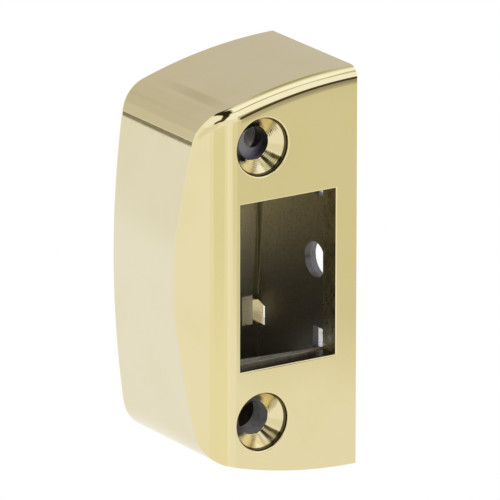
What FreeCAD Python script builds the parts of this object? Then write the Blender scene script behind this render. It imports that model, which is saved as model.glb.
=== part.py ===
import FreeCAD, Part
import os
import Sketcher

# Surface-mounted strike for a rim latch: a hollow casting, polished and plated outside.
# The latch enters the mouth in the front wall, and two countersunk screws run through the
# front and rear walls into the door frame.
# Frame, in mm: +Z up, +Y the way the screws leave into the door frame, +X towards the stop.
# The origin lies on the rear face, midway between the two screws.

os.makedirs("parts", exist_ok=True)
doc = FreeCAD.newDocument("strike")

# Driving dimensions, each written once
SIZES = {
    "overall_height": 69.0,
    "overall_depth": 26.7,
    "projection": 31.4,
    "end_arc_radius": 87.0,
    "top_arc_lead": 1.8,
    "bottom_arc_lead": 0.3,
    "bow_radius": 176.0,
    "corner_radius": 6.2,
    "plan_radius": 8.8,
    "crown_standoff": 0.04,
    "front_edge_radius": 2.0,
    "rear_edge_radius": 1.0,
    "front_wall": 3.9,
    "shell_wall": 2.5,
    "rear_wall": 1.6,
    "panel_wall": 2.2,
    "panel_recess": 1.1,
    "panel_fillet": 1.0,
    "feature_drop": 0.25,
    "edge_break": 0.25,
    "mouth_width": 18.7,
    "mouth_height": 28.9,
    "mouth_inset": 4.1,
    "screw_inset": 18.5,
    "screw_spacing": 47.6,
    "bore_diameter": 5.7,
    "head_diameter": 10.0,
    "head_lip": 0.6,
    "throat_depth": 2.9,
    "boss_diameter": 13.0,
    "boss_depth": 7.2,
    "pin_hole_diameter": 6.2,
    "pin_hole_setback": 7.6,
    "window_height": 3.9,
    "window_length": 3.8,
    "window_rise": 13.55,
    "window_setback": 4.3,
    "notch_height": 4.0,
    "notch_length": 2.1,
    "notch_rise": 13.7,
    "notch_slope": 0.7,
    "notch_relief": 2.2,
}
sheet = doc.addObject("Spreadsheet::Sheet", "dims")
for row, (alias, value) in enumerate(SIZES.items(), start=1):
    sheet.set(f"A{row}", alias)
    sheet.set(f"B{row}", str(value))
    sheet.setAlias(f"B{row}", alias)
doc.recompute()

# Places that several features share, as expressions of the driving dimensions
STOP_FACE = "dims.screw_inset"
PANEL_FACE = "dims.screw_inset - dims.panel_recess - dims.panel_wall"
ROOM_FACE = "dims.screw_inset - dims.projection"
FRONT_FACE = "-dims.overall_depth"
SCREW_RISE = "dims.screw_spacing / 2"
BOW_CENTRE = (f"{ROOM_FACE} + dims.bow_radius", "dims.feature_drop")
PANEL_CUT = "dims.panel_recess + dims.panel_wall"

# How far a cutting sketch reaches past the solid, and how exactly edges are recognised
PAST = 2.0
NEAR = 1e-3

# Ends of a sketch's lines and arcs, and the sketch's own origin point
START = 1
END = 2
CENTRE = 3
ORIGIN = (-1, 1)


def measure(text):
    """Value of an expression of the driving dimensions."""
    return float(sheet.evalExpression(text))


def vec(across, up):
    """Point of a sketch."""
    return FreeCAD.Vector(across, up, 0)


def new_body(name):
    """Empty body."""
    body = doc.addObject("PartDesign::Body", name)
    doc.recompute()
    return body


def origin_plane(body, role):
    """One of a body's own origin planes."""
    return next(item for item in body.Origin.OriginFeatures if item.Role == role)


def new_sketch(body, name, role, outward="0", up="0"):
    """Sketch on an origin plane, moved along the plane's normal and its second axis."""
    sketch = body.newObject("Sketcher::SketchObject", name)
    sketch.AttachmentSupport = [(origin_plane(body, role), "")]
    sketch.MapMode = "FlatFace"
    sketch.setExpression("AttachmentOffset.Base.z", outward)
    sketch.setExpression("AttachmentOffset.Base.y", up)
    doc.recompute()
    return sketch


def hold(sketch, kind, where, text):
    """Add a dimension to a sketch and bind it to an expression."""
    index = sketch.addConstraint(Sketcher.Constraint(kind, *where, measure(text)))
    sketch.setExpression(f"Constraints[{index}]", text)


def hold_point(sketch, point, across, up):
    """Dimension a point of a sketch from the sketch's origin, both ways."""
    hold(sketch, "DistanceX", (*ORIGIN, *point), across)
    hold(sketch, "DistanceY", (*ORIGIN, *point), up)


def meet(sketch, first, second):
    """Make two end points of a sketch coincide."""
    sketch.addConstraint(Sketcher.Constraint("Coincident", *first, *second))


def add_polygon(sketch, corners):
    """Closed polygon whose corners are pairs of expressions."""
    points = [vec(measure(across), measure(up)) for across, up in corners]
    following = points[1:] + points[:1]
    sides = [sketch.addGeometry(Part.LineSegment(*ends)) for ends in zip(points, following)]
    for side, after, corner in zip(sides, sides[1:] + sides[:1], corners):
        meet(sketch, (side, END), (after, START))
        hold_point(sketch, (side, START), *corner)


def add_rectangle(sketch, left, right, low, high):
    """Rectangle between four expressions."""
    add_polygon(sketch, [(left, low), (right, low), (right, high), (left, high)])


def add_circle(sketch, across, up, diameter):
    """Circle with its centre and diameter given as expressions."""
    centre = vec(measure(across), measure(up))
    circle = sketch.addGeometry(Part.Circle(centre, FreeCAD.Vector(0, 0, 1), measure(diameter) / 2))
    hold(sketch, "Diameter", (circle,), diameter)
    hold_point(sketch, (circle, CENTRE), across, up)


def end_centre(side):
    """Centre of the top or bottom arc, a little way beyond the stop side."""
    lead = "dims.top_arc_lead" if side > 0 else "dims.bottom_arc_lead"
    rise = f"dims.overall_height / 2 - sqrt(dims.end_arc_radius ^ 2 - {lead} ^ 2)"
    return f"{STOP_FACE} + {lead}", f"dims.feature_drop + {side} * ({rise})"


def circle_at(place, radius):
    """Circle with its centre and radius given as expressions."""
    return Part.Circle(vec(*map(measure, place)), FreeCAD.Vector(0, 0, 1), measure(radius))


def crossing(first, second, side):
    """Upper or lower point where two curves cross."""
    points = [vec(point.X, point.Y) for point in first.intersectCC(second)]
    return max(points, key=lambda point: side * point.y)


def add_outline(sketch, stop_face, wall):
    """Loaf-shaped outline: flat stop side, two arched ends and a bowed room side.

    The outside has a wall of 0. The inside keeps its centres and takes the wall off its radii.
    """
    bow_radius = f"dims.bow_radius - {wall}"
    end_radius = f"dims.end_arc_radius - {wall}"
    bow = circle_at(BOW_CENTRE, bow_radius)
    ends = {side: circle_at(end_centre(side), end_radius) for side in (1, -1)}
    stop_line = Part.Line(vec(measure(stop_face), 0), vec(measure(stop_face), 1))
    room = {side: crossing(ends[side], bow, side) for side in (1, -1)}
    stop = {side: crossing(ends[side], stop_line, side) for side in (1, -1)}

    def add_arc(circle, first, last, place, radius):
        """Arc of a circle between two points, with its centre and radius held."""
        arc = sketch.addGeometry(Part.ArcOfCircle(circle, circle.parameter(first), circle.parameter(last)))
        hold(sketch, "Radius", (arc,), radius)
        hold_point(sketch, (arc, CENTRE), *place)
        return arc

    top = add_arc(ends[1], stop[1], room[1], end_centre(1), end_radius)
    side = add_arc(bow, room[1], room[-1], BOW_CENTRE, bow_radius)
    bottom = add_arc(ends[-1], room[-1], stop[-1], end_centre(-1), end_radius)
    back = sketch.addGeometry(Part.LineSegment(stop[-1], stop[1]))
    sketch.addConstraint(Sketcher.Constraint("Vertical", back))
    hold(sketch, "DistanceX", (*ORIGIN, back, START), stop_face)
    loop = [top, side, bottom, back]
    for piece, after in zip(loop, loop[1:] + loop[:1]):
        meet(sketch, (piece, END), (after, START))


def pad(body, name, sketch, length):
    """Pad a sketch along its plane's normal."""
    feature = body.newObject("PartDesign::Pad", name)
    feature.Profile = sketch
    feature.setExpression("Length", length)
    body.Tip = feature
    doc.recompute()


def check_cut(body, before):
    """Stop if the last feature took nothing off its body."""
    if body.Shape.Volume > before - NEAR:
        raise RuntimeError(f"{body.Tip.Name} cuts nothing")


def pocket(body, name, sketch, length, both_ways=False):
    """Pocket a sketch against its plane's normal, or both ways through the middle."""
    before = body.Shape.Volume
    feature = body.newObject("PartDesign::Pocket", name)
    feature.Profile = sketch
    feature.SideType = "Symmetric" if both_ways else "One side"
    feature.setExpression("Length", length)
    body.Tip = feature
    doc.recompute()
    check_cut(body, before)
    return feature


def mirror(body, name, originals):
    """Repeat features on the other side of the level plane through the origin."""
    before = body.Shape.Volume
    feature = body.newObject("PartDesign::Mirrored", name)
    feature.Originals = originals
    feature.MirrorPlane = (origin_plane(body, "XY_Plane"), [""])
    body.Tip = feature
    doc.recompute()
    check_cut(body, before)


def fillet(body, name, radius, test):
    """Round the edges of a body that pass a test, and all that run on smoothly from them."""
    edges = [f"Edge{number}" for number, edge in enumerate(body.Shape.Edges, start=1) if test(edge)]
    if not edges:
        raise RuntimeError(f"{name} finds no edge")
    base = body.Tip
    feature = body.newObject("PartDesign::Fillet", name)
    feature.Base = (base, edges)
    feature.setExpression("Radius", radius)
    body.Tip = feature
    doc.recompute()


def level_corner(side):
    """Test for the edge that runs along Y between the top or bottom end and the bowed side."""
    def test(edge):
        ends = [vertex.Point for vertex in edge.Vertexes]
        span = ends[-1] - ends[0]
        middle = (ends[0] + ends[-1]) / 2
        return abs(span.y) > 0.99 * span.Length and middle.x < 0 and side * middle.z > 0
    return test


def panel_corner(edge):
    """Test for the edge of the core along the corner of the panel and the rear wall."""
    across = measure(PANEL_FACE)
    depth = -measure("dims.rear_wall")
    points = [vertex.Point for vertex in edge.Vertexes]
    return all(abs(point.x - across) < NEAR and abs(point.y - depth) < NEAR for point in points)


def end_edge(side, depth):
    """Test for the edge that an end makes with the front or rear face, at a given Y."""
    def test(edge):
        first, last = (vertex.Point for vertex in edge.Vertexes)
        in_face = all(abs(point.y - measure(depth)) < NEAR for point in (first, last))
        return in_face and abs(first.x - last.x) > abs(first.z - last.z) and side * first.z > 0
    return test


def add_corner_waste(sketch, circle, on_left, on_low, beyond):
    """Region between a rounded lower left corner and a sharp one outside the solid.

    Returns the arc, whose ends the caller holds.
    """
    arc = sketch.addGeometry(Part.ArcOfCircle(circle, circle.parameter(on_left), circle.parameter(on_low)))
    far = vec(*map(measure, beyond))
    path = [on_left, vec(far.x, on_left.y), far, vec(on_low.x, far.y), on_low]
    sides = [sketch.addGeometry(Part.LineSegment(*ends)) for ends in zip(path, path[1:])]
    for side, way in zip(sides, ("Horizontal", "Vertical") * 2):
        sketch.addConstraint(Sketcher.Constraint(way, side))
    for side, after in zip(sides, sides[1:]):
        meet(sketch, (side, END), (after, START))
    meet(sketch, (arc, START), (sides[0], START))
    meet(sketch, (arc, END), (sides[-1], END))
    hold_point(sketch, (sides[1], END), *beyond)
    return arc


def round_plan_corner(body, room_face, front_face, radius):
    """Cut the vertical corner between the front and the bowed side to a large round."""
    sketch = new_sketch(body, f"{body.Name}_corner_plan", "XY_Plane")
    centre = (f"{room_face} - dims.crown_standoff + {radius}", f"{front_face} + {radius}")
    circle = circle_at(centre, radius)
    reach = measure(radius)
    arc = add_corner_waste(
        sketch, circle, circle.Center - vec(reach, 0), circle.Center - vec(0, reach),
        (f"{room_face} - {PAST}", f"{front_face} - {PAST}"))
    hold(sketch, "Radius", (arc,), radius)
    hold_point(sketch, (arc, CENTRE), *centre)
    hold(sketch, "DistanceY", (*ORIGIN, arc, START), centre[1])
    hold(sketch, "DistanceX", (*ORIGIN, arc, END), centre[0])
    pocket(body, f"{body.Name}_corner", sketch, "dims.overall_height * 2", both_ways=True)


def round_bottom_corner(strike):
    """Cut the lower corner of the bowed side to a round that is tangent to both arcs."""
    sketch = new_sketch(strike, "bottom_corner_plan", "XZ_Plane")
    guides = []
    for place, radius in ((BOW_CENTRE, "dims.bow_radius"), (end_centre(-1), "dims.end_arc_radius")):
        guide = sketch.addGeometry(circle_at(place, radius), True)
        hold(sketch, "Radius", (guide,), radius)
        hold_point(sketch, (guide, CENTRE), *place)
        guides.append(guide)
    radius = "dims.corner_radius"
    inner_bow = circle_at(BOW_CENTRE, f"dims.bow_radius - {radius}")
    inner_end = circle_at(end_centre(-1), f"dims.end_arc_radius - {radius}")
    centre = crossing(inner_bow, inner_end, -1)
    circle = Part.Circle(centre, FreeCAD.Vector(0, 0, 1), measure(radius))
    outward = [(centre - guide.Center).normalize() * measure(radius) for guide in (inner_bow, inner_end)]
    arc = add_corner_waste(
        sketch, circle, centre + outward[0], centre + outward[1],
        (f"{ROOM_FACE} - {PAST}", f"-dims.overall_height / 2 - {PAST}"))
    hold(sketch, "Radius", (arc,), radius)
    for end, guide in zip((START, END), guides):
        sketch.addConstraint(Sketcher.Constraint("Tangent", arc, end, guide))
    pocket(strike, "bottom_corner", sketch, "dims.overall_depth * 3", both_ways=True)


def build_core():
    """Solid of the space inside the strike: the outline less the walls."""
    core = new_body("Core")
    outline = new_sketch(core, "core_outline", "XZ_Plane", outward="dims.rear_wall")
    add_outline(outline, PANEL_FACE, "dims.shell_wall")
    pad(core, "core_block", outline, "dims.overall_depth - dims.front_wall - dims.rear_wall")
    for side, name in ((1, "core_top_corner"), (-1, "core_bottom_corner")):
        fillet(core, name, "dims.corner_radius - dims.shell_wall", level_corner(side))
    fillet(core, "core_panel_corner", "dims.panel_fillet", panel_corner)
    round_plan_corner(core, f"{ROOM_FACE} + dims.shell_wall", f"{FRONT_FACE} + dims.front_wall",
                      "(dims.plan_radius - dims.shell_wall)")
    return core


def build_block(strike):
    """Outside of the casting, rounded along the top and down the bowed side, crisp below."""
    outline = new_sketch(strike, "outline", "XZ_Plane")
    add_outline(outline, STOP_FACE, "0")
    pad(strike, "block", outline, "dims.overall_depth")
    fillet(strike, "top_corner", "dims.corner_radius", level_corner(1))
    round_plan_corner(strike, ROOM_FACE, FRONT_FACE, "dims.plan_radius")
    fillet(strike, "front_edge", "dims.front_edge_radius", end_edge(1, FRONT_FACE))
    round_bottom_corner(strike)
    fillet(strike, "rear_edge", "dims.rear_edge_radius", end_edge(1, "0"))


def hollow(strike, core):
    """Take the space inside away and stand a boss behind the front wall for each screw."""
    before = strike.Shape.Volume
    cut = strike.newObject("PartDesign::Boolean", "hollow")
    cut.Type = "Cut"
    cut.setObjects([core])
    strike.Tip = cut
    doc.recompute()
    check_cut(strike, before)
    bosses = new_sketch(strike, "boss_plan", "XZ_Plane", outward="dims.overall_depth - dims.boss_depth")
    for side in (1, -1):
        add_circle(bosses, "0", f"{side} * {SCREW_RISE}", "dims.boss_diameter")
    pad(strike, "bosses", bosses, "dims.boss_depth - dims.front_wall / 2")


def mouth_rim(edge):
    """Test for the four edges that the mouth makes with the front face."""
    front = measure(FRONT_FACE)
    right = measure(f"{STOP_FACE} - dims.mouth_inset")
    left = right - measure("dims.mouth_width")
    high = measure("dims.mouth_height / 2")

    def on_rim(point):
        """Whether a point is one of the mouth's corners in the front face."""
        sideways = min(abs(point.x - left), abs(point.x - right))
        return max(abs(point.y - front), sideways, abs(abs(point.z) - high)) < NEAR

    return all(on_rim(vertex.Point) for vertex in edge.Vertexes)


def cut_mouth(strike):
    """Opening in the front wall that the latch enters, with its rim broken."""
    sketch = new_sketch(strike, "mouth_plan", "XZ_Plane", outward="dims.overall_depth")
    right = f"{STOP_FACE} - dims.mouth_inset"
    add_rectangle(sketch, f"{right} - dims.mouth_width", right,
                  "-dims.mouth_height / 2", "dims.mouth_height / 2")
    pocket(strike, "mouth", sketch, "dims.front_wall")
    fillet(strike, "mouth_edge", "dims.edge_break", mouth_rim)


def cut_screw_holes(strike):
    """Two countersunk holes through both walls, each with a broken rim and a straight lip."""
    sketch = new_sketch(strike, "screw_section", "YZ_Plane", up=SCREW_RISE)
    head = "dims.head_diameter / 2"
    bore = "dims.bore_diameter / 2"
    rim = f"{head} + dims.edge_break"
    rim_end = f"{FRONT_FACE} + dims.edge_break"
    lip = f"{FRONT_FACE} + dims.head_lip"
    throat = f"{FRONT_FACE} + dims.throat_depth"
    before_front = f"{FRONT_FACE} - {PAST}"
    behind_rear = f"{PAST}"
    add_polygon(sketch, [
        (before_front, "0"), (before_front, rim), (FRONT_FACE, rim), (rim_end, head),
        (lip, head), (throat, bore), (behind_rear, bore), (behind_rear, "0")])
    before = strike.Shape.Volume
    groove = strike.newObject("PartDesign::Groove", "screw_hole")
    groove.Profile = sketch
    groove.ReferenceAxis = (sketch, ["H_Axis"])
    groove.Angle = 360
    strike.Tip = groove
    doc.recompute()
    check_cut(strike, before)
    mirror(strike, "screw_holes", [groove])


def stop_sketch(strike, name):
    """Sketch on the stop side, with Y across and Z up."""
    return new_sketch(strike, name, "YZ_Plane", outward=STOP_FACE)


def cut_stop_side(strike):
    """Recess of the mounting panel, its round hole and its paired windows and notches."""
    recess = stop_sketch(strike, "recess_plan")
    half_span = "(dims.overall_height / 2 - dims.shell_wall)"
    behind_front = f"{FRONT_FACE} + dims.front_wall"
    add_rectangle(recess, behind_front, "-dims.rear_wall",
                  f"dims.feature_drop - {half_span}", f"dims.feature_drop + {half_span}")
    pocket(strike, "recess", recess, "dims.panel_recess")

    hole = stop_sketch(strike, "pin_hole_plan")
    add_circle(hole, f"{FRONT_FACE} + dims.pin_hole_setback", "0", "dims.pin_hole_diameter")
    pocket(strike, "pin_hole", hole, PANEL_CUT)

    window = stop_sketch(strike, "window_plan")
    near_side = f"{FRONT_FACE} + dims.window_setback"
    add_rectangle(window, near_side, f"{near_side} + dims.window_length",
                  "dims.window_rise - dims.window_height / 2", "dims.window_rise + dims.window_height / 2")
    windows = [pocket(strike, "window", window, PANEL_CUT)]

    notch = stop_sketch(strike, "notch_plan")
    low = "dims.notch_rise - dims.notch_height / 2"
    high = "dims.notch_rise + dims.notch_height / 2"
    edge = "-dims.rear_wall - dims.notch_length"
    add_polygon(notch, [(edge, f"{low} + dims.notch_slope"), ("-dims.rear_wall", low),
                        ("-dims.rear_wall", high), (edge, high)])
    windows.append(pocket(strike, "notch", notch, f"{PANEL_CUT} + dims.panel_fillet"))

    relief = stop_sketch(strike, "relief_plan")
    add_rectangle(relief, "-dims.rear_wall", f"{PAST}", low, high)
    windows.append(pocket(strike, "relief", relief, "dims.notch_relief"))
    mirror(strike, "lower_windows", windows)


def build_strike():
    """The casting, from its block to the holes."""
    core = build_core()
    strike = new_body("Strike")
    strike.Label = "strike_plate"
    build_block(strike)
    hollow(strike, core)
    cut_mouth(strike)
    cut_screw_holes(strike)
    cut_stop_side(strike)
    return strike


def check_document():
    """Stop if any object failed to build."""
    doc.recompute()
    failed = [item.Label for item in doc.Objects if {"Invalid", "Error"} & set(item.State)]
    if failed:
        raise RuntimeError(f"failed: {failed}")


def export(body):
    """Write a body's solid to the file that its label names."""
    shape = body.Shape
    if shape.isNull() or not shape.isValid() or len(shape.Solids) != 1:
        raise RuntimeError(f"{body.Label} is not one valid solid")
    shape.exportStep(f"parts/{body.Label}.step")
    print(body.Label, f"{shape.Volume:.1f} mm3", shape.BoundBox)


strike_plate = build_strike()
check_document()
export(strike_plate)
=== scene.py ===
"""Looks of a surface-mounted door strike plate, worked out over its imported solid.

The casting's outside is one skin of arched ends, a bowed room side and a large plan corner,
with the rolling round that a ball of 2 mm leaves along the front edge. Everything is in the
solid's own frame: +Z up, +Y into the door frame, +X towards the stop. Sizes are millimetres
until a mesh is made.
"""

import logging
import math
from collections.abc import Callable
from dataclasses import dataclass, field
from enum import Enum

import bmesh
import bpy
import numpy as np
from mathutils import Matrix, Vector


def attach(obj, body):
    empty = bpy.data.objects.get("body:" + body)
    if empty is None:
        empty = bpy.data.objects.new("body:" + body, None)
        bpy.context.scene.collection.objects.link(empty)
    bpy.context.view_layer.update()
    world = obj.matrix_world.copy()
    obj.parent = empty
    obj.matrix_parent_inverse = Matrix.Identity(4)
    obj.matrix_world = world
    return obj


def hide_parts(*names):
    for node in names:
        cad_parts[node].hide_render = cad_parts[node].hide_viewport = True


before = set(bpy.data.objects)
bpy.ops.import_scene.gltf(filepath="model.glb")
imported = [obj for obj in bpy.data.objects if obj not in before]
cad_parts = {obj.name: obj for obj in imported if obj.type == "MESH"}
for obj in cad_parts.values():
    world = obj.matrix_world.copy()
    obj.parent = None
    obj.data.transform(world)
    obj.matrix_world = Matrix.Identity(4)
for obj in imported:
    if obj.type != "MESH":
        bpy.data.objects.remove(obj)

Array = np.ndarray
Rgb = tuple[float, float, float]
Pair = tuple[float, float]
Feed = bpy.types.NodeSocket | float | Array | tuple[float, ...]

MM = 0.001
NODE = "strike_plate"
BODY = "root"
MERGE = 1e-7
PAST = 2.0  # how far a tool starts outside the face that it cuts, in mm
PIERCE = 1.0  # how far a tool runs on into the open cavity, in mm
NOISE_DETAIL = 3.0
MIX_UNDER, MIX_OVER, MIX_COLOR = 6, 7, 2
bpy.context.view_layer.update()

log = logging.getLogger("strike")


class End(Enum):
    """The two arched ends of the strike."""

    TOP = 1
    BOTTOM = -1


# Mesh helpers


def grid_faces(rows: int, columns: int) -> Array:
    """Quads between neighbouring closed rings of a grid.

    Args:
        rows: number of rings.
        columns: number of points in each ring.

    Returns:
        Corner indices, one row a quad.
    """
    ring = np.arange(rows - 1)[:, None] * columns
    here = np.arange(columns)[None, :]
    after = (here + 1) % columns
    above = ring + columns
    quads = np.stack([ring + here, ring + after, above + after, above + here], axis=-1)
    return quads.reshape(-1, 4)


def ring_solid(name: str, rings: Array, material: bpy.types.Material) -> bpy.types.Object:
    """Closed solid from a stack of rings, with a flat cap at each end.

    Points that fall together, as where a ring closes to a line, are merged.

    Args:
        name: name of the object.
        rings: points in mm, by ring and place in the ring.
        material: finish of the whole surface.

    Returns:
        The new object.
    """
    rows, columns = rings.shape[:2]
    faces = grid_faces(rows, columns).tolist()
    faces.append(list(range(columns))[::-1])
    faces.append(list(range((rows - 1) * columns, rows * columns)))
    mesh = bpy.data.meshes.new(name)
    mesh.from_pydata((rings.reshape(-1, 3) * MM).tolist(), [], faces)
    tidy = bmesh.new()
    tidy.from_mesh(mesh)
    bmesh.ops.remove_doubles(tidy, verts=tidy.verts, dist=MERGE)
    bmesh.ops.recalc_face_normals(tidy, faces=tidy.faces)
    tidy.to_mesh(mesh)
    tidy.free()
    mesh.materials.append(material)
    obj = bpy.data.objects.new(name, mesh)
    bpy.context.scene.collection.objects.link(obj)
    return obj


def boolean(obj: bpy.types.Object, tool: bpy.types.Object, operation: str) -> None:
    """Combine an object with a tool solid, keep the tool's finish on its faces, drop the tool.

    Args:
        obj: the object that is changed.
        tool: the closed solid that changes it.
        operation: DIFFERENCE, INTERSECT or UNION.
    """
    modifier = obj.modifiers.new(tool.name, "BOOLEAN")
    modifier.operation = operation
    modifier.solver = "EXACT"
    modifier.material_mode = "TRANSFER"
    modifier.object = tool
    graph = bpy.context.evaluated_depsgraph_get()
    mesh = bpy.data.meshes.new_from_object(obj.evaluated_get(graph), depsgraph=graph)
    obj.modifiers.clear()
    spent = obj.data
    obj.data = mesh
    bpy.data.meshes.remove(spent)
    spent = tool.data
    bpy.data.objects.remove(tool)
    bpy.data.meshes.remove(spent)


# Finishes


@dataclass(frozen=True)
class Grain:
    """Uneven patches: how many lie in a metre, and the noise where they begin and are full."""

    fineness: float
    low: float = 0.3
    high: float = 0.7


@dataclass(frozen=True)
class Band:
    """Bounds of a place in mm, and half the width of the change at each."""

    low: float
    high: float
    soft: float


class Nodes:
    """Short way to add and link nodes in one node tree."""

    def __init__(self, tree: bpy.types.NodeTree) -> None:
        """Keep the tree."""
        self.tree = tree

    def feed(self, value: Feed, socket: bpy.types.NodeSocket) -> None:
        """Link a socket to what feeds it, or set its plain value.

        Args:
            value: a socket, or a number, vector or colour.
            socket: the socket that takes it.
        """
        if isinstance(value, bpy.types.NodeSocket):
            self.tree.links.new(value, socket)
        else:
            socket.default_value = value

    def add(self, kind: str, *feeds: Feed, **values: object) -> bpy.types.Node:
        """Add a node and set its properties and sockets.

        Args:
            kind: Blender's name of the node type.
            feeds: what goes into the first sockets, in order.
            values: properties by name, or sockets by name with spaces as underscores.

        Returns:
            The node.
        """
        node = self.tree.nodes.new(kind)
        for name, value in values.items():
            if hasattr(node, name):
                setattr(node, name, value)
            else:
                self.feed(value, node.inputs[name.replace("_", " ")])
        for value, socket in zip(feeds, node.inputs):
            self.feed(value, socket)
        return node

    def math(self, operation: str, first: Feed, second: Feed = 0.0) -> bpy.types.NodeSocket:
        """Work out one value from another, or from two."""
        return self.add("ShaderNodeMath", first, second, operation=operation).outputs[0]

    def times(self, first: Feed, second: Feed) -> bpy.types.NodeSocket:
        """Product of two values; of two masks, the places that they share."""
        return self.math("MULTIPLY", first, second)

    def range(self, mask: Feed, low: float, high: float) -> bpy.types.NodeSocket:
        """Turn a mask into values from low, where it is 0, to high, where it is 1."""
        return self.add("ShaderNodeMapRange", mask, To_Min=low, To_Max=high).outputs[0]

    def slope(self, value: Feed, start: Feed, stop: Feed, *ends: float) -> bpy.types.NodeSocket:
        """Smooth change between a start and a stop, from 0 to 1 if no ends are given."""
        return self.add("ShaderNodeMapRange", value, start, stop, *ends,
                        interpolation_type="SMOOTHSTEP").outputs[0]

    def blend(self, under: Feed, over: Rgb, mask: Feed) -> bpy.types.NodeSocket:
        """Lay a colour over another where a mask says.

        Args:
            under: the colour below, a socket or a plain colour.
            over: the colour laid over it.
            mask: how much of it.

        Returns:
            The colour.
        """
        node = self.add("ShaderNodeMix", mask, data_type="RGBA")
        for color, place in ((under, MIX_UNDER), (over, MIX_OVER)):
            self.feed((*color, 1) if isinstance(color, tuple) else color, node.inputs[place])
        return node.outputs[MIX_COLOR]

    def mask(self, build: Callable[[], bpy.types.NodeTree], *feeds: Feed) -> bpy.types.NodeSocket:
        """Mask of a shared group with its own values.

        Args:
            build: function that builds the group, called the first time it is needed.
            feeds: what goes into the group, in the order of its inputs.

        Returns:
            The mask.
        """
        name = build.__name__
        tree = bpy.data.node_groups[name] if name in bpy.data.node_groups else build()
        return self.add("ShaderNodeGroup", *feeds, node_tree=tree).outputs["Mask"]


class MaskGroup(Nodes):
    """Node group in the making that works out one mask from named inputs."""

    def __init__(self, name: str, vectors: tuple[str, ...], floats: tuple[str, ...]) -> None:
        """Make the group with its inputs, vectors first, and its one output.

        Args:
            name: name of the group.
            vectors: names of the inputs that take a vector.
            floats: names of the inputs that take a number.
        """
        super().__init__(bpy.data.node_groups.new(name, "ShaderNodeTree"))
        for names, kind in ((vectors, "NodeSocketVector"), (floats, "NodeSocketFloat")):
            for socket in names:
                self.tree.interface.new_socket(socket, in_out="INPUT", socket_type=kind)
        self.tree.interface.new_socket("Mask", in_out="OUTPUT", socket_type="NodeSocketFloat")
        self.given = self.add("NodeGroupInput").outputs

    def done(self, mask: bpy.types.NodeSocket) -> bpy.types.NodeTree:
        """Put the mask out and give the group."""
        self.add("NodeGroupOutput", mask)
        return self.tree


def speckle() -> bpy.types.NodeTree:
    """Build the group for uneven patches: noise of a chosen grain, stretched between two levels.

    Returns:
        The group.
    """
    group = MaskGroup("speckle", ("Place",), ("Grain", "Low", "High"))
    given = group.given
    noise = group.add("ShaderNodeTexNoise", Vector=given["Place"], Scale=given["Grain"],
                      Detail=NOISE_DETAIL)
    return group.done(group.slope(noise.outputs[0], given["Low"], given["High"]))


def between() -> bpy.types.NodeTree:
    """Build the group for a bounded place: 1 from low to high, 0 outside, soft over a short way.

    Returns:
        The group.
    """
    group = MaskGroup("between", (), ("Value", "Low", "High", "Soft"))
    given = group.given
    ramps = []
    for bound, ends in (("Low", (0.0, 1.0)), ("High", (1.0, 0.0))):
        start, stop = (group.math(way, given[bound], given["Soft"]) for way in ("SUBTRACT", "ADD"))
        ramps.append(group.slope(given["Value"], start, stop, *ends))
    return group.done(group.times(*ramps))


def node_material(name: str) -> bpy.types.Material:
    """New material with nodes."""
    material = bpy.data.materials.new(name)
    material.use_nodes = True
    return material


class Finish(Nodes):
    """A material in the making: its nodes, its shader and the place on the piece."""

    def __init__(self, name: str) -> None:
        """Make the material and read the piece's own place."""
        self.material = node_material(name)
        super().__init__(self.material.node_tree)
        self.shader = self.tree.nodes["Principled BSDF"]
        self.place = self.add("ShaderNodeTexCoord").outputs["Object"]
        self.x, self.y, self.z = self.add("ShaderNodeSeparateXYZ", self.place).outputs

    def speckle(self, grain: Grain) -> bpy.types.NodeSocket:
        """Mask of uneven patches."""
        return self.mask(speckle, self.place, grain.fineness, grain.low, grain.high)

    def between(self, value: Feed, band: Band) -> bpy.types.NodeSocket:
        """Mask of the places where a value in metres lies within a band."""
        return self.mask(between, value, band.low * MM, band.high * MM, band.soft * MM)

    def within(self, y: Band, z: Band) -> bpy.types.NodeSocket:
        """Mask of the places within a band along Y and another along Z."""
        return self.times(self.between(self.y, y), self.between(self.z, z))

    def across(self, back: float, lean: float, rise: float) -> bpy.types.NodeSocket:
        """Place across the inner corner: X, less a share of Y, less a share of the height.

        Args:
            back: share of Y.
            lean: share of the height.
            rise: height in mm by which the lean starts below the middle.

        Returns:
            The place.
        """
        level = self.math("SUBTRACT", self.x, self.times(self.y, back))
        return self.math("SUBTRACT", level, self.times(self.math("ADD", self.z, rise * MM), lean))

    def relief(self, height: bpy.types.NodeSocket, depth: float) -> None:
        """Raise the surface by a mask, by a depth in mm where it is 1."""
        bump = self.add("ShaderNodeBump", Height=height, Strength=1.0, Distance=depth * MM)
        self.feed(bump.outputs[0], self.shader.inputs["Normal"])

    def dress(self, color: Feed, roughness: Feed, metallic: Feed) -> bpy.types.Material:
        """Feed the shader and give the finished material."""
        for name, value in (("Base Color", color), ("Roughness", roughness), ("Metallic", metallic)):
            self.feed(value, self.shader.inputs[name])
        return self.material


@dataclass(frozen=True)
class PolishedPlating:
    """Buffed brass plating of the outside, with the buffing's faint waves and clouds."""

    color: Rgb = (0.8, 0.71, 0.46)
    deeper: Rgb = (0.785, 0.695, 0.435)
    clouds: Grain = Grain(70, 0.45, 0.65)
    haze: Grain = Grain(900, 0.4)
    roughness: Pair = (0.018, 0.035)
    waves: Grain = Grain(160)
    wave_height: float = 0.0002

    def material(self) -> bpy.types.Material:
        """Node material of the plating."""
        finish = Finish("polished_plating")
        color = finish.blend(self.color, self.deeper, finish.speckle(self.clouds))
        haze = finish.range(finish.speckle(self.haze), *self.roughness)
        finish.relief(finish.speckle(self.waves), self.wave_height)
        return finish.dress(color, haze, 1.0)


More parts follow.
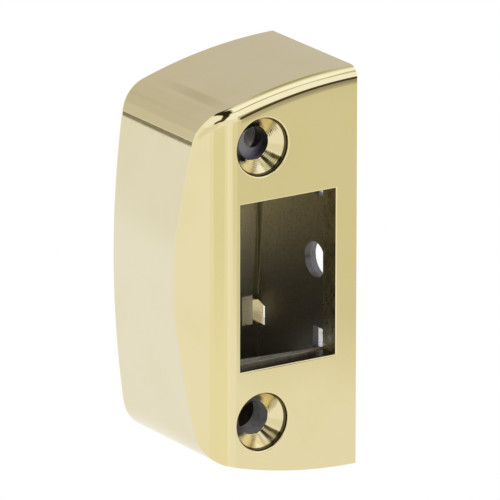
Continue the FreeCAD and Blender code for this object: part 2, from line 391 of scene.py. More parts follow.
@dataclass(frozen=True)
class TurnedSeat:
    """Plated cone of a screw hole: the cutter's rings, gilt places and a painted dark reflection on the lip.

    Towards its upper and lower ends the rings are fainter and the plating is rougher.
    """

    color: Rgb = (0.8, 0.71, 0.47)
    golden: Rgb = (0.76, 0.6, 0.27)
    gilt: Grain = Grain(520, 0.4, 0.6)
    # painted shade: dark reflection laid on the lip and the cone's outer edge
    shade: Rgb = (0.1, 0.08, 0.03)
    lip: Band = Band(4.7, 9.0, 0.04)
    rise: float = 23.8
    pitch: float = 0.24
    broken: Grain = Grain(700, 0.25, 0.6)
    ring_height: float = 0.0035
    ends: Band = Band(3.4, 6.0, 0.7)
    faint: Pair = (1.0, 0.3)
    haze: Grain = Grain(1500)
    roughness: Pair = (0.04, 0.1)
    rougher: Pair = (0.0, 0.12)

    def material(self) -> bpy.types.Material:
        """Node material of the cones, ringed by the sine of the distance from the axis."""
        finish = Finish("turned_seat")
        up = finish.math("SUBTRACT", finish.math("ABSOLUTE", finish.z), self.rise * MM)
        square = finish.math("ADD", finish.times(finish.x, finish.x), finish.times(up, up))
        radius = finish.math("SQRT", square)
        rings = finish.math("SINE", finish.times(radius, 2 * math.pi / (self.pitch * MM)))
        ends = finish.between(finish.math("ABSOLUTE", up), self.ends)
        uneven = finish.times(rings, finish.speckle(self.broken))
        finish.relief(finish.times(uneven, finish.range(ends, *self.faint)), self.ring_height)
        color = finish.blend(self.color, self.golden, finish.times(finish.speckle(self.gilt), ends))
        # painted shade: the lip band darkened where the cone reflects darkness
        color = finish.blend(color, self.shade, finish.between(radius, self.lip))
        rough = finish.range(finish.speckle(self.haze), *self.roughness)
        rough = finish.math("ADD", rough, finish.range(ends, *self.rougher))
        return finish.dress(color, rough, 1.0)


@dataclass(frozen=True)
class MattPlating:
    """Plating that the buffing wheel doesn't reach: matt, darker on the sill, grey on its flash."""

    color: Rgb = (0.66, 0.59, 0.38)
    darker: Rgb = (0.43, 0.38, 0.24)
    worn: Grain = Grain(520, 0.4, 0.68)
    worn_y: Band = Band(-30.0, -22.9, 0.1)
    fine: Grain = Grain(1600, 0.35, 0.75)
    fine_share: float = 0.3
    sill: Rgb = (0.14, 0.11, 0.055)
    sill_y: Band = Band(-26.4, -22.95, 0.05)
    sill_z: Band = Band(-14.7, -14.4, 0.02)
    flash: Rgb = (0.4, 0.39, 0.4)
    flash_y: Band = Band(-22.95, -22.0, 0.02)
    flash_z: Band = Band(-14.42, -13.0, 0.02)
    tooth: Grain = Grain(4000)
    tooth_height: float = 0.004
    haze: Grain = Grain(900)
    roughness: Pair = (0.26, 0.42)

    def material(self) -> bpy.types.Material:
        """Node material of the mouth's sides and the panel's outer face."""
        finish = Finish("matt_plating")
        worn = finish.times(finish.speckle(self.worn), finish.between(finish.y, self.worn_y))
        fine = finish.times(finish.speckle(self.fine), self.fine_share)
        color = finish.blend(self.color, self.darker, finish.math("MAXIMUM", worn, fine))
        color = finish.blend(color, self.sill, finish.within(self.sill_y, self.sill_z))
        color = finish.blend(color, self.flash, finish.within(self.flash_y, self.flash_z))
        finish.relief(finish.speckle(self.tooth), self.tooth_height)
        return finish.dress(color, finish.range(finish.speckle(self.haze), *self.roughness), 1.0)


@dataclass(frozen=True)
class InsidePlating:
    """Thin plating in the deep of the casting, grainy, cooler low down, and painted grey high up as shade.

    A strip of painted shade leans along the corner of rear wall and panel, with a thin painted
    highlight line beside it. The share of Y in its lean was fitted to the photograph's view and
    suits that view best. The landing beside the lower notch carries a painted pool of light,
    with a dull part near the panel's left.
    """

    color: Rgb = (0.66, 0.6, 0.44)
    cool: Rgb = (0.42, 0.39, 0.33)
    cool_z: Band = Band(-60.0, 2.0, 11.0)
    # painted shade: the inside greyed and darkened high up
    grey: Rgb = (0.34, 0.34, 0.36)
    grey_z: Band = Band(13.5, 60.0, 4.0)
    dark_grain: Rgb = (0.3, 0.27, 0.18)
    grain: Grain = Grain(3200, 0.45, 0.75)
    grain_share: float = 0.6
    lean: tuple[float, float, float] = (0.658, 0.056, 11.0)
    # painted shade along the inner corner, and a painted highlight line beside it
    soot: Rgb = (0.3, 0.27, 0.17)
    soot_across: Band = Band(15.15, 16.2, 0.1)
    soot_z: Band = Band(-10.9, 14.0, 0.1)
    line_across: Band = Band(16.22, 16.36, 0.05)
    line_z: Band = Band(-10.9, -1.5, 1.2)
    # painted light: pale for the highlight line and the pool's near part, bright for the pool's far part
    pale: Rgb = (0.95, 0.83, 0.55)
    bright: Rgb = (0.62, 0.55, 0.38)
    landing_y: Band = Band(-2.0, 0.5, 0.05)
    landing_z: Band = Band(-15.9, -10.8, 0.06)
    near_x: Band = Band(12.0, 20.0, 0.06)
    far_x: Band = Band(14.1, 20.0, 0.06)
    stains: Grain = Grain(1300, 0.62)
    haze: Grain = Grain(1200)
    roughness: Pair = (0.3, 0.46)
    near_share: float = 0.6
    far_share: float = 0.3
    tooth: Grain = Grain(5200)
    tooth_height: float = 0.006

    def material(self) -> bpy.types.Material:
        """Node material of the inside, with a painted pool of light on the landing beside the lower notch."""
        finish = Finish("inside_plating")
        color = finish.blend(self.color, self.cool, finish.between(finish.z, self.cool_z))
        # painted shade high up in the deep
        color = finish.blend(color, self.grey, finish.between(finish.z, self.grey_z))
        grain = finish.times(finish.speckle(self.grain), self.grain_share)
        color = finish.blend(color, self.dark_grain, grain)
        # painted shade strip and painted highlight line along the corner of rear wall and panel
        across = finish.across(*self.lean)
        strip, line = (finish.times(finish.between(across, wide), finish.between(finish.z, high))
                       for wide, high in ((self.soot_across, self.soot_z), (self.line_across, self.line_z)))
        color = finish.blend(finish.blend(color, self.soot, strip), self.pale, line)
        # painted pool of light on the landing, left out where stains break it
        landing = finish.within(self.landing_y, self.landing_z)
        near, far = (finish.times(landing, finish.between(finish.x, x)) for x in (self.near_x, self.far_x))
        pool_patches = finish.math("SUBTRACT", 1.0, finish.speckle(self.stains))
        color = finish.blend(color, self.pale, finish.times(near, pool_patches))
        color = finish.blend(color, self.bright, finish.times(far, pool_patches))
        rough = finish.range(finish.speckle(self.haze), *self.roughness)
        for part, share in ((near, self.near_share), (far, self.far_share)):
            rough = finish.times(rough, finish.range(part, 1.0, share))
        finish.relief(finish.speckle(self.tooth), self.tooth_height)
        # the painted highlight line and the pool's near part are not metallic
        dull = finish.math("MAXIMUM", line, finish.math("SUBTRACT", near, far))
        return finish.dress(color, rough, finish.range(dull, 1.0, 0.0))


@dataclass(frozen=True)
class OpeningWall:
    """Grey alloy round the panel's openings: smooth inside, coarse and paler outside.

    The notches at the rear are plated, and painted paler for the light that falls in through
    them; the window walls outside carry a painted reflection of the bright outside. Each pair
    of values gives the place away from the named one first.
    """

    inner: Rgb = (0.11, 0.1, 0.11)
    outer: Rgb = (0.2, 0.195, 0.205)
    outside_x: Band = Band(16.3, 30.0, 0.08)
    # painted reflection: window walls outside near white, as the bright outside seen in them
    pale: Rgb = (0.95, 0.96, 1.0)
    pale_z: Band = Band(9.0, 20.0, 0.5)
    # plated notch walls, painted paler for the light that falls in through them
    khaki: Rgb = (0.9, 0.86, 0.76)
    notch_y: Band = Band(-5.0, 1.0, 0.05)
    pit: Rgb = (0.1, 0.09, 0.1)
    pits: Grain = Grain(2600, 0.6, 0.72)
    tooth: Grain = Grain(3500)
    tooth_height: float = 0.012
    outside_roughness: Pair = (0.3, 0.5)
    notch_share: Pair = (1.0, 0.3)
    notch_metallic: Pair = (0.7, 1.0)

    def material(self) -> bpy.types.Material:
        """Node material of the walls of hole, windows and notches."""
        finish = Finish("opening_wall")
        outside = finish.between(finish.x, self.outside_x)
        color = finish.blend(self.inner, self.outer, outside)
        # painted reflection of the bright outside on the window walls
        slots = finish.between(finish.math("ABSOLUTE", finish.z), self.pale_z)
        color = finish.blend(color, self.pale, finish.times(slots, outside))
        # notch walls painted paler for the light that comes in through them
        notch = finish.between(finish.y, self.notch_y)
        color = finish.blend(color, self.khaki, notch)
        color = finish.blend(color, self.pit, finish.times(finish.speckle(self.pits), outside))
        finish.relief(finish.times(finish.speckle(self.tooth), outside), self.tooth_height)
        rough = finish.times(finish.range(outside, *self.outside_roughness),
                             finish.range(notch, *self.notch_share))
        return finish.dress(color, rough, finish.range(notch, *self.notch_metallic))


@dataclass(frozen=True)
class BoreWall:
    """Dull grey alloy in the screw bores: a bright burr, and the upper one painted darker as shade, with a painted
    shadow on its right side.
    """

    color: Rgb = (0.62, 0.63, 0.7)
    darker: Rgb = (0.46, 0.47, 0.54)
    clouds: Grain = Grain(700, 0.42, 0.64)
    # painted shade: the upper bore darker all over
    upper: Rgb = (0.24, 0.24, 0.28)
    upper_z: Band = Band(0.0, 60.0, 1.0)
    # painted shadow on the upper bore's right side
    stained: Rgb = (0.07, 0.07, 0.08)
    stain_x: Band = Band(1.6, 5.0, 1.3)
    burr: Rgb = (0.8, 0.8, 0.82)
    burr_y: Band = Band(-19.78, -19.4, 0.05)
    tooth: Grain = Grain(3000)
    tooth_height: float = 0.006
    haze: Grain = Grain(900)
    roughness: Pair = (0.32, 0.5)
    metallic: float = 0.75

    def material(self) -> bpy.types.Material:
        """Node material of the bores."""
        finish = Finish("bore_wall")
        color = finish.blend(self.color, self.darker, finish.speckle(self.clouds))
        upper = finish.between(finish.z, self.upper_z)
        # painted shade: the upper bore darker
        color = finish.blend(color, self.upper, upper)
        # painted shadow on the right side of the upper bore
        shadow_side = finish.times(finish.between(finish.x, self.stain_x), upper)
        color = finish.blend(color, self.stained, shadow_side)
        color = finish.blend(color, self.burr, finish.between(finish.y, self.burr_y))
        finish.relief(finish.speckle(self.tooth), self.tooth_height)
        rough = finish.range(finish.speckle(self.haze), *self.roughness)
        return finish.dress(color, rough, self.metallic)


# The casting


@dataclass(frozen=True)
class Circle:
    """Circle of the outline, in the plane of X and Z."""

    x: float
    z: float
    radius: float

    @property
    def centre(self) -> Array:
        """Centre as an array."""
        return np.array([self.x, self.z])

    def inside(self, inset: float) -> "Circle":
        """The same circle with its radius made smaller."""
        return Circle(self.x, self.z, self.radius - inset)


@dataclass(frozen=True)
class ArchedOutline:
    """Loaf-shaped outline: an arch at each end, a bowed room side and rounded corners."""

    bow: Circle = Circle(163.1, 0.25, 176.0)
    top: Circle = Circle(20.3, -52.231, 87.0)
    bottom: Circle = Circle(18.8, 52.749, 87.0)
    corner_radius: float = 6.2

    def arch(self, end: End) -> Circle:
        """Arch of one end."""
        return self.top if end is End.TOP else self.bottom

    def corner(self, end: End) -> Circle:
        """Round that touches an end's arch and the bow from inside.

        Its centre lies one corner radius inside both, where those two smaller circles cross.

        Args:
            end: top or bottom.

        Returns:
            The corner's circle.
        """
        first = self.arch(end).inside(self.corner_radius)
        second = self.bow.inside(self.corner_radius)
        gap = second.centre - first.centre
        span = np.hypot(*gap)
        along = (first.radius**2 - second.radius**2 + span**2) / (2 * span)
        across = math.sqrt(first.radius**2 - along**2)
        unit = gap / span
        side = np.array([-unit[1], unit[0]])
        points = [first.centre + along * unit + way * across * side for way in (1, -1)]
        place = max(points, key=lambda point: end.value * point[1])
        return Circle(float(place[0]), float(place[1]), self.corner_radius)

    def touch(self, end: End, inset: float = 0.0) -> tuple[float, float]:
        """Where the corner of an end meets its arch and the bow.

        Args:
            end: top or bottom.
            inset: distance of the line inside the outline.

        Returns:
            X at the arch and X at the bow.
        """
        corner = self.corner(end)
        ways = [corner.centre - circle.centre for circle in (self.arch(end), self.bow)]
        places = [corner.centre + way / np.hypot(*way) * (corner.radius - inset) for way in ways]
        return float(places[0][0]), float(places[1][0])

    def line(self, x: Array, end: End, inset: float = 0.0) -> tuple[Array, Array]:
        """Height of one half of the outline, and its outward normal.

        Each place belongs to the arch, the corner or the bow, by X. There the height is the
        circle's centre plus or minus the root of its radius squared less the run squared.

        Args:
            x: places along X.
            end: upper or lower half.
            inset: distance of the line inside the outline.

        Returns:
            Z of each place, and the normals as X and Z.
        """
        at_arch, at_bow = self.touch(end, inset)
        circles = (self.arch(end), self.corner(end), self.bow)
        arch, corner, bow = (circle.inside(inset) for circle in circles)
        on_arch, on_bow = x >= at_arch, x < at_bow
        centre_x = np.select([on_arch, on_bow], [arch.x, bow.x], corner.x)
        centre_z = np.select([on_arch, on_bow], [arch.z, bow.z], corner.z)
        radius = np.select([on_arch, on_bow], [arch.radius, bow.radius], corner.radius)
        rise = np.sqrt(np.maximum(radius**2 - (x - centre_x) ** 2, 0))
        z = centre_z + end.value * rise
        return z, np.stack([(x - centre_x) / radius, end.value * rise / radius], axis=-1)

    def stations(self, start: float, end: End, inset: float, counts: tuple[int, int, int]) -> Array:
        """Places along X from a start to the crown of the bow, close together where it turns.

        Args:
            start: first X, on the arch.
            end: upper or lower half.
            inset: distance of the line inside the outline.
            counts: how many steps the arch, the corner and the bow get.

        Returns:
            X of the places, from high to low.
        """
        at_arch, at_bow = self.touch(end, inset)
        corner = self.corner(end).inside(inset)
        bow = self.bow.inside(inset)
        turn = np.arccos((np.array([at_arch, at_bow]) - corner.x) / corner.radius)
        height = math.sqrt(bow.radius**2 - (at_bow - bow.x) ** 2)
        on_arch = np.linspace(start, at_arch, counts[0] + 1)
        on_corner = corner.x + corner.radius * np.cos(np.linspace(turn[0], turn[1], counts[1] + 1))
        on_bow = bow.x - np.sqrt(bow.radius**2 - np.linspace(height, 0, counts[2] + 1) ** 2)
        return np.concatenate([on_arch, on_corner[1:], on_bow[1:]])


@dataclass(frozen=True)
class PlanCorner:
    """Large vertical round between the front face and the bowed room side."""

    x: float
    y: float
    radius: float

    def front(self, x: Array) -> Array:
        """Y of the front: flat, then the near side of the round's circle.

        Args:
            x: places along X.

        Returns:
            Y of each place.
        """
        run = np.minimum(x - self.x, 0)
        return self.y - np.sqrt(np.maximum(self.radius**2 - run**2, 0))


@dataclass
class Casting:
    """The strike itself: an arched shell with a latch mouth, screw holes and a pierced side."""

    outline: ArchedOutline = field(default_factory=ArchedOutline)
    plan: PlanCorner = PlanCorner(-4.14, -17.9, 8.8)
    inner_plan: PlanCorner = PlanCorner(-4.14, -16.5, 6.3)
    front_y: float = -26.7
    stop_x: float = 18.5
    ball: float = 2.0
    rear_round: float = 1.0
    wall: float = 2.5
    cavity_y: tuple[float, float] = (-22.8, -1.6)
    cavity_x: float = 15.2
    round_steps: int = 14
    rear_steps: int = 6
    screw_rise: float = 23.8
    boss_radius: float = 6.5
    boss_y: float = -19.5
    bore_radius: float = 2.85
    head_radius: float = 5.0
    head_y: float = -26.1
    foot_radius: float = 0.25
    throat_y: float = -23.8
    edge_break: float = 0.25
    buffed_width: float = 1.0
    buffed_drop: float = 0.0105
    panel_fillet: float = 0.12
    web_y: tuple[float, float] = (-22.3, -21.8)
    web_hole: tuple[float, float, float] = (0.85, 0.55, 1.8)
    mouth_x: tuple[float, float] = (-4.3, 14.4)
    mouth_z: float = 14.45
    flash_y: tuple[float, float] = (-22.9, -22.7)
    flash_rise: tuple[float, float] = (0.95, 0.3)
    recess_x: float = 17.4
    recess_middle: float = 0.25
    recess_half: float = 32.0
    pin_y: float = -19.1
    pin_radius: float = 3.1
    window_y: tuple[float, float] = (-22.4, -18.6)
    window_z: tuple[float, float] = (11.6, 15.5)
    notch_y: tuple[float, float] = (-3.7, -1.6)
    notch_z: tuple[float, float, float] = (11.7, 12.4, 15.7)
    relief_x: float = 16.3
    plating: PolishedPlating = PolishedPlating()
    seat: TurnedSeat = TurnedSeat()
    matt: MattPlating = MattPlating()
    inside: InsidePlating = InsidePlating()
    opening: OpeningWall = OpeningWall()
    bore: BoreWall = BoreWall()

    def skin_rings(self) -> Array:
        """Rings of the block before its bottom and stop side are cut.

        Each ring belongs to one place of the rolling ball. The ball's centre is 2 mm inside
        both the front surface and the outline. From its touching point on the front the ring
        follows the ball's arc to the side wall, goes straight back, rounds the rear edge, and
        returns along the mirrored lower half. Beyond the flat front's end the lower half lies
        in one sloping plane, which is cut away later.

        Returns:
            Points by ring and place.
        """
        ball = self.ball
        inner = PlanCorner(self.plan.x, self.plan.y, self.plan.radius - ball)
        start = self.outline.top.x
        counts = (10, 26, 40)
        far = np.linspace(start, self.plan.x, 30)
        x = np.concatenate([far[:-1], self.outline.stations(self.plan.x, End.TOP, ball, counts)])
        y = inner.front(x)
        front_normal = np.stack([np.minimum(x - inner.x, 0), y - inner.y, 0 * x], axis=-1)
        front_normal[x >= inner.x] = (0, -1, 0)
        front_normal /= np.linalg.norm(front_normal, axis=-1, keepdims=True)
        upper = self.half_ring(x, y, front_normal, *self.outline.line(x, End.TOP, ball))
        bow = self.outline.bow.inside(ball)
        run = (x - bow.x) / bow.radius
        rise = np.sqrt(1 - np.minimum(run**2, 1))
        bow_normal = np.stack([run, -rise], axis=-1)
        lower = self.half_ring(x, y, front_normal, bow.z - bow.radius * rise, bow_normal)
        flat = x > self.plan.x
        joint = int(np.argmin(np.abs(x - self.plan.x)))
        slope = bow_normal[joint, 1] / bow_normal[joint, 0]
        z_joint = bow.z - bow.radius * rise[joint]
        lower[flat, :, 0] = x[flat, None]
        lower[flat, :, 1] = lower[joint, :, 1][None, :]
        lower[flat, :, 2] = (z_joint + (x[flat] - x[joint]) * slope)[:, None]
        return np.concatenate([upper, lower[:, ::-1]], axis=1)

    def half_ring(self, x: Array, y: Array, front_normal: Array, z: Array, side_normal: Array) -> Array:
        """Upper or lower half of the skin's rings.

        The ball's arc turns evenly from the front normal to the side normal: each is weighted
        by the sine of its share of the angle between them, over the sine of that angle. The
        rear round takes one less the cosine off the side and adds the sine to the depth. Buffing
        softens the arc's front end: over a short strip the front falls by the square of the run.

        Args:
            x: X of the ball's centre.
            y: Y of the ball's centre.
            front_normal: outward normals of the front.
            z: Z of the ball's centre.
            side_normal: outward normals of the side, as X and Z.

        Returns:
            Points by ring and place.
        """
        centre = np.stack([x, y, z], axis=-1)
        side = np.stack([side_normal[:, 0], 0 * x, side_normal[:, 1]], axis=-1)
        angle = np.arccos(np.clip((front_normal * side).sum(-1), -1, 1))[:, None, None]
        share = np.linspace(0, 1, self.round_steps + 1)[None, :, None]
        turned = (np.sin((1 - share) * angle) * front_normal[:, None] + np.sin(share * angle) * side[:, None])
        arc = centre[:, None] + self.ball * turned / np.sin(angle)
        reach = np.minimum(self.buffed_width, 0.3 * np.abs(z - self.outline.bow.z))[:, None, None]
        drop = self.buffed_drop * (reach / self.buffed_width) ** 2 * front_normal[:, None]
        away = np.array([1.0, 0.5])[None, :, None]
        inward = np.sign(side_normal[:, 1])[:, None, None] * np.array([0, 0, 1.0])
        strip = arc[:, :1] - away * reach * inward - (1 - away) ** 2 * drop
        arc[:, :1] -= drop
        touch = centre + self.ball * side
        turn = np.linspace(0, math.pi / 2, self.rear_steps + 1)[None, :, None]
        back = touch[:, None] - self.rear_round * (1 - np.cos(turn)) * side[:, None]
        back[..., 1] = (self.rear_round * (np.sin(turn) - 1))[..., 0]
        return np.concatenate([strip, arc, back], axis=1)

    def keep_rings(self) -> Array:
        """Rings of the solid that the block is kept inside: crisp bottom and flat stop side.

        Each ring is the lower outline at one depth, closed far outside above. Near the rear
        the ring moves inwards by one less the cosine of the rear round.

        Returns:
            Points by ring and place.
        """
        turn = np.linspace(0, math.pi / 2, self.rear_steps + 1)
        inset = np.concatenate([[0], self.rear_round * (1 - np.cos(turn)), [self.rear_round]])
        depth = np.concatenate([[-40], self.rear_round * (np.sin(turn) - 1), [5]])
        return np.stack([self.keep_ring(move, y) for move, y in zip(inset, depth)])

    def keep_ring(self, inset: float, y: float) -> Array:
        """One ring of the kept space.

        Args:
            inset: distance inside the outline.
            y: depth of the ring.

        Returns:
            Points of the ring.
        """
        x = self.outline.stations(self.stop_x, End.BOTTOM, inset, (40, 22, 1))[:-1]
        z, normal = self.outline.line(x, End.BOTTOM, inset)
        away = np.array([x[-1], z[-1]]) + 12 * normal[-1]
        loop = np.concatenate([np.stack([x, z], axis=-1), [away, (away[0] - 5, 50), (self.stop_x, 50)]])
        return np.stack([loop[:, 0], np.full(len(loop), y), loop[:, 1]], axis=-1)

    def cavity_rings(self) -> Array:
        """Rings of the space inside, each a rectangle at one X.

        It reaches from the inner front surface to the rear wall, and from the lower to the
        upper inner line. Near the panel the rear comes forward on a circle of the fillet's
        radius: by that radius less the root of its square less the run squared.

        Returns:
            Points by ring and place.
        """
        halves = [self.outline.stations(self.cavity_x, end, self.wall, (24, 16, 30)) for end in End]
        radius = self.panel_fillet
        round_x = self.cavity_x - radius * (1 - np.sin(np.linspace(0, math.pi / 2, 6)))
        x = np.sort(np.unique(np.round(np.concatenate([*halves, [self.inner_plan.x], round_x]), 6)))[::-1]
        high = self.outline.line(x, End.TOP, self.wall)[0]
        low = self.outline.line(x, End.BOTTOM, self.wall)[0]
        front = np.maximum(self.inner_plan.front(x), self.cavity_y[0])
        run = np.maximum(x - self.cavity_x + radius, 0)
        rear = self.cavity_y[1] - radius + np.sqrt(np.maximum(radius**2 - run**2, 0))
        corners = [(front, high), (rear, high), (rear, low), (front, low)]
        return np.stack([np.stack([x, y, z], axis=-1) for y, z in corners], axis=1)

    def box(self, name: str, low: Array, high: Array, material: bpy.types.Material) -> bpy.types.Object:
        """Plain block between two corners, as a cutting tool.

        Args:
            name: name of the object.
            low: lowest corner.
            high: highest corner.
            material: finish of the faces that it cuts.

        Returns:
            The tool.
        """
        (x0, y0, z0), (x1, y1, z1) = low, high
        ring = np.array([(y0, z0), (y1, z0), (y1, z1), (y0, z1)])
        rings = np.stack([np.column_stack([np.full(4, x), ring]) for x in (x0, x1)])
        return ring_solid(name, rings, material)

    def turned(self, name: str, profile: list[tuple[float, float]], height: float,
               material: bpy.types.Material, steps: int = 96) -> bpy.types.Object:
        """Solid of revolution about a screw's axis.

        A point of the profile at radius r goes to X = r cos t and Z = height + r sin t.

        Args:
            name: name of the object.
            profile: radius and Y of each ring.
            height: Z of the axis.
            material: finish of the faces that it cuts.
            steps: points in each ring.

        Returns:
            The tool.
        """
        turn = np.linspace(0, 2 * math.pi, steps, endpoint=False)
        radius, y = np.array(profile).T
        across = radius[:, None] * np.cos(turn)
        up = height + radius[:, None] * np.sin(turn)
        level = np.broadcast_to(y[:, None], up.shape)
        return ring_solid(name, np.stack([across, level, up], axis=-1), material)

    def broken_edge(self, steps: int = 4) -> list[tuple[float, float]]:
        """Small round where an opening meets the front, as outward move and Y."""
        turn = np.linspace(0, math.pi / 2, steps + 1)
        move = self.edge_break * (1 - np.sin(turn))
        depth = self.front_y + self.edge_break * (1 - np.cos(turn))
        return list(zip(move.tolist(), depth.tolist()))

    def lip_foot(self, steps: int = 4) -> list[tuple[float, float]]:
        """Small hollow round between the straight lip and the cone, as radius and Y.

        It turns evenly from the lip's direction to the cone's about a centre that lies one
        foot radius inside both.
        """
        run, fall = self.head_radius - self.bore_radius, self.throat_y - self.head_y
        lean = math.atan2(run, fall)
        back = self.foot_radius * math.tan(lean / 2)
        turn = np.linspace(0, lean, steps + 1)
        radius = self.head_radius - self.foot_radius * (1 - np.cos(turn))
        y = self.head_y - back + self.foot_radius * np.sin(turn)
        return list(zip(radius.tolist(), y.tolist()))

    def cut_mouth(self, casting: bpy.types.Object, material: bpy.types.Material) -> None:
        """Open the latch mouth in the front wall, with a small round at its edge.

        A thin flash of the casting stands along the sill's inner edge, higher at its left.

        Args:
            casting: the object that is cut.
            material: finish of the mouth's sides.
        """
        left, right = self.mouth_x
        levels = [(self.edge_break, self.front_y - PAST), *self.broken_edge(), (0.0, self.cavity_y[0] + 0.4)]
        rings = [[(left - m, y, -self.mouth_z - m), (right + m, y, -self.mouth_z - m),
                  (right + m, y, self.mouth_z + m), (left - m, y, self.mouth_z + m)] for m, y in levels]
        boolean(casting, ring_solid("mouth", np.array(rings), material), "DIFFERENCE")
        near, far = self.flash_y
        foot = -self.mouth_z - 0.3
        flash = [[(x, near, foot), (x, far, foot), (x, far, rise - self.mouth_z),
                  (x, near, rise - self.mouth_z)]
                 for x, rise in zip((left - 0.2, right + 0.2), self.flash_rise)]
        boolean(casting, ring_solid("flash", np.array(flash), material), "UNION")

    def cut_screw_hole(self, casting: bpy.types.Object, end: End, seat: bpy.types.Material,
                       bore: bpy.types.Material) -> None:
        """Cut one countersunk hole through the front and rear walls.

        Args:
            casting: the object that is cut.
            end: upper or lower hole.
            seat: finish of the lip and the cone.
            bore: finish of the bore.
        """
        height = end.value * self.screw_rise
        edge = [(self.head_radius + move, y) for move, y in self.broken_edge()]
        profile = [(self.head_radius + self.edge_break, self.front_y - PAST), *edge, *self.lip_foot(),
                   (self.bore_radius, self.throat_y), (self.bore_radius, self.throat_y + 0.01)]
        boolean(casting, self.turned("seat", profile, height, seat), "DIFFERENCE")
        start, stop = self.throat_y - 0.2, 3.0
        near, far = self.web_y
        runs = [(start, near), (far, stop)] if end is End.TOP else [(start, stop)]
        for low, high in runs:
            run = [(self.bore_radius, low), (self.bore_radius, high)]
            boolean(casting, self.turned("bore", run, height, bore), "DIFFERENCE")
        if end is End.TOP:
            x, z, radius = self.web_hole
            hole = self.turned("web_hole", [(radius, near - 0.3), (radius, far + 0.3)], height + z, bore)
            hole.data.transform(Matrix.Translation((x * MM, 0, 0)))
            boolean(casting, hole, "DIFFERENCE")

    def cut_stop_side(self, casting: bpy.types.Object, face: bpy.types.Material,
                      material: bpy.types.Material) -> None:
        """Cut the recess of the panel, its round hole, windows and notches.

        Args:
            casting: the object that is cut.
            face: finish of the panel's outer face.
            material: finish of the openings' walls.
        """
        past = self.stop_x + PAST
        low, high = (self.recess_middle + way * self.recess_half for way in (-1, 1))
        recess = self.box("recess", (self.recess_x, self.cavity_y[0], low),
                          (past, self.cavity_y[1], high), face)
        boolean(casting, recess, "DIFFERENCE")
        turn = np.linspace(0, 2 * math.pi, 72, endpoint=False)
        hole = np.stack([np.stack([np.full_like(turn, x), self.pin_y + self.pin_radius * np.cos(turn),
                                   self.pin_radius * np.sin(turn)], axis=-1) for x in (self.cavity_x - PIERCE, past)])
        boolean(casting, ring_solid("pin_hole", hole, material), "DIFFERENCE")
        inner, slope, outer = self.notch_z
        for end in End:
            bounds = sorted(end.value * z for z in self.window_z)
            window = self.box("window", (self.cavity_x - PIERCE, self.window_y[0], bounds[0]),
                              (past, self.window_y[1], bounds[1]), material)
            boolean(casting, window, "DIFFERENCE")
            near, far = self.notch_y
            loop = [(near, end.value * slope), (far, end.value * inner), (far, end.value * outer),
                    (near, end.value * outer)]
            rings = np.array([[(x, y, z) for y, z in loop] for x in (self.cavity_x - PIERCE, past)])
            boolean(casting, ring_solid("notch", rings, material), "DIFFERENCE")
            bounds = sorted(end.value * z for z in (inner, outer))
            relief = self.box("relief", (self.relief_x, far - 0.01, bounds[0]),
                              (past, PAST, bounds[1]), material)
            boolean(casting, relief, "DIFFERENCE")

    def build(self) -> bpy.types.Object:
        """Build the casting, cut its openings and put its finishes on.

        Returns:
            The finished piece.
        """
        finishes = (self.plating, self.seat, self.matt, self.inside, self.opening, self.bore)
        plating, seat, matt, inside, opening, bore = (finish.material() for finish in finishes)
        casting = ring_solid("strike_casting", self.skin_rings(), plating)
        boolean(casting, ring_solid("kept", self.keep_rings(), plating), "INTERSECT")
        cavity = ring_solid("cavity", self.cavity_rings(), inside)
        for end in End:
            profile = [(self.boss_radius, self.front_y + PAST), (self.boss_radius, self.boss_y)]
            boolean(cavity, self.turned("boss", profile, end.value * self.screw_rise, inside), "DIFFERENCE")
        boolean(casting, cavity, "DIFFERENCE")
        self.cut_mouth(casting, matt)
        for end in End:
            self.cut_screw_hole(casting, end, seat, bore)
        self.cut_stop_side(casting, matt, opening)
        self.smooth(casting)
        slots = [slot.material for slot in casting.material_slots]
        self.polish_edges(casting, slots.index(plating), slots.index(inside))
        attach(casting, BODY)
        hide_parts(NODE)
        return casting

    def polish_edges(self, casting: bpy.types.Object, plating: int, inside: int) -> None:
        """Give the openings' broken edges the outside's polish, and the notches' floor the inside's.

        Args:
            casting: the cut casting.
            plating: slot of the outside's finish.
            inside: slot of the inside's finish.
        """
        mesh = casting.data
        centres = np.empty(len(mesh.polygons) * 3)
        mesh.polygons.foreach_get("center", centres)
        x, y = centres[::3] / MM, centres[1::3] / MM
        finish = np.empty(len(mesh.polygons), dtype=np.int32)
        mesh.polygons.foreach_get("material_index", finish)
        finish[y < self.front_y + self.edge_break] = plating
        finish[(np.abs(y - self.notch_y[1]) < 0.01) & (x > self.cavity_x - PIERCE)] = inside
        mesh.polygons.foreach_set("material_index", finish)

    def smooth(self, casting: bpy.types.Object) -> None:
        """Shade round surfaces smooth and keep crisp edges, with flat faces leading the normals.

        An edge between two finishes is where a tool cut the casting, and stays crisp as well.
        """
        mesh = casting.data
        mesh.shade_smooth()
        mesh.set_sharp_from_angle(angle=math.radians(28))
        finish = np.empty(len(mesh.polygons), dtype=np.int32)
        size = np.empty(len(mesh.polygons), dtype=np.int32)
        edge = np.empty(len(mesh.loops), dtype=np.int32)
        mesh.polygons.foreach_get("material_index", finish)
        mesh.polygons.foreach_get("loop_total", size)
        mesh.loops.foreach_get("edge_index", edge)
        low = np.full(len(mesh.edges), 99, dtype=np.int32)
        high = np.full(len(mesh.edges), -1, dtype=np.int32)
        np.minimum.at(low, edge, np.repeat(finish, size))
        np.maximum.at(high, edge, np.repeat(finish, size))
        sharp = np.empty(len(mesh.edges), dtype=bool)
        mesh.edges.foreach_get("use_edge_sharp", sharp)
        mesh.edges.foreach_set("use_edge_sharp", sharp | (low != high))
        weighted = casting.modifiers.new("flat_faces_lead", "WEIGHTED_NORMAL")
        weighted.keep_sharp = True
        weighted.weight = 80


# The studio


